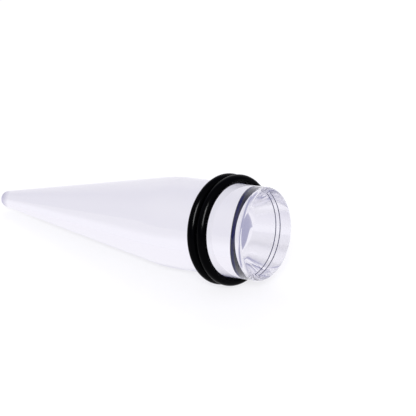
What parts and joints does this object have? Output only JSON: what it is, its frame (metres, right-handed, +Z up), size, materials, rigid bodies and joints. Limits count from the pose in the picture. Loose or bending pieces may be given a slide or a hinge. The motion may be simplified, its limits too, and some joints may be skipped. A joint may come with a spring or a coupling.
{
  "type": "ear stretching taper",
  "caption": "Clear acrylic ear stretching taper: a long cone with a rounded tip, a soft shoulder and a straight barrel that carries black rubber O-rings near its flat end.",
  "frame": {"origin": "on the surface that the taper lies on, under the middle of its outline", "axes": "+Z up, +X from the tip towards the flat end, which the axis rises to by 8.3 degrees"},
  "size_m": [0.0594, 0.0192, 0.0192],
  "materials": {
    "clear_acrylic": "polished and water clear, with a faint lilac cast",
    "black_rubber": "smooth moulded, half gloss"
  },
  "bodies": {
    "root": {"taper_body": "clear_acrylic", "o_ring_back": "black_rubber", "o_ring_front": "black_rubber"}
  },
  "joints": []
}
